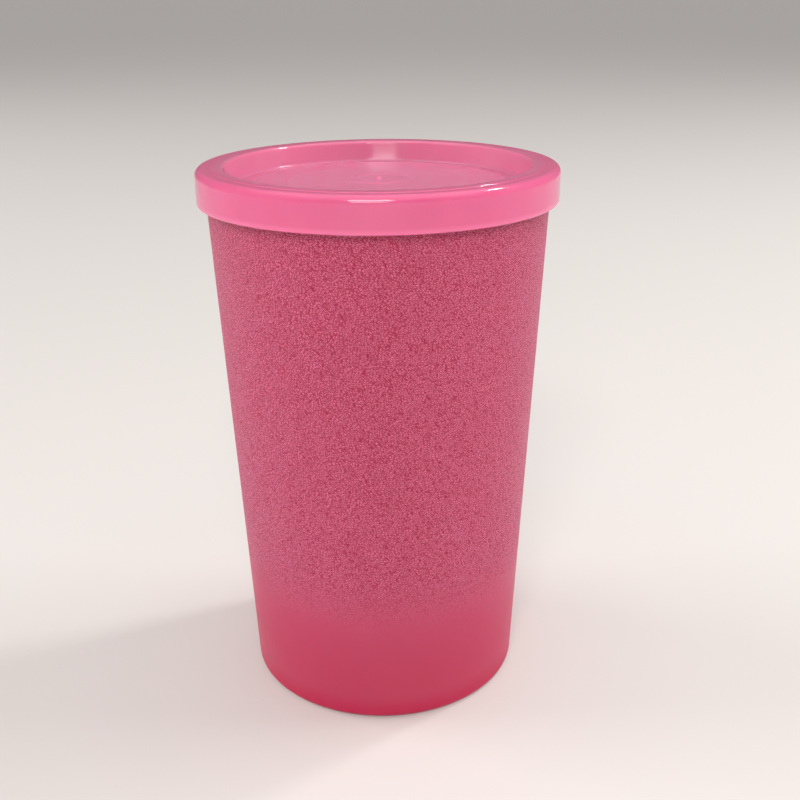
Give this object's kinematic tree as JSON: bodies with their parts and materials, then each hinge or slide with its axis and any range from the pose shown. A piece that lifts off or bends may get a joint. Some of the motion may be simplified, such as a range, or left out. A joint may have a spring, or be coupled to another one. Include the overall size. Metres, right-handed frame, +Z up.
{
  "type": "lidded drinking tumbler",
  "caption": "Tapered translucent drinking tumbler with a finely grained wall and a round recessed seal lid that presses over its mouth.",
  "frame": {"origin": "centre of the cup's underside, level with the foot ring that it stands on", "axes": "+Z up along the axis of the cup and lid, towards the lid"},
  "size_m": [0.082, 0.082, 0.127],
  "materials": {
    "cup_plastic": "translucent tinted polypropylene, satin, with a fine pebbled grain that fades out near the base",
    "lid_plastic": "translucent tinted soft plastic, smooth and glossy"
  },
  "bodies": {
    "cup": {"tumbler_cup": "cup_plastic"},
    "lid": {"press_on_lid": "lid_plastic"}
  },
  "joints": [
    {"name": "lid_lift", "type": "slide", "parent": "cup", "child": "lid", "axis": [0, 0, 1], "range_m": [0, 0.06]}
  ]
}
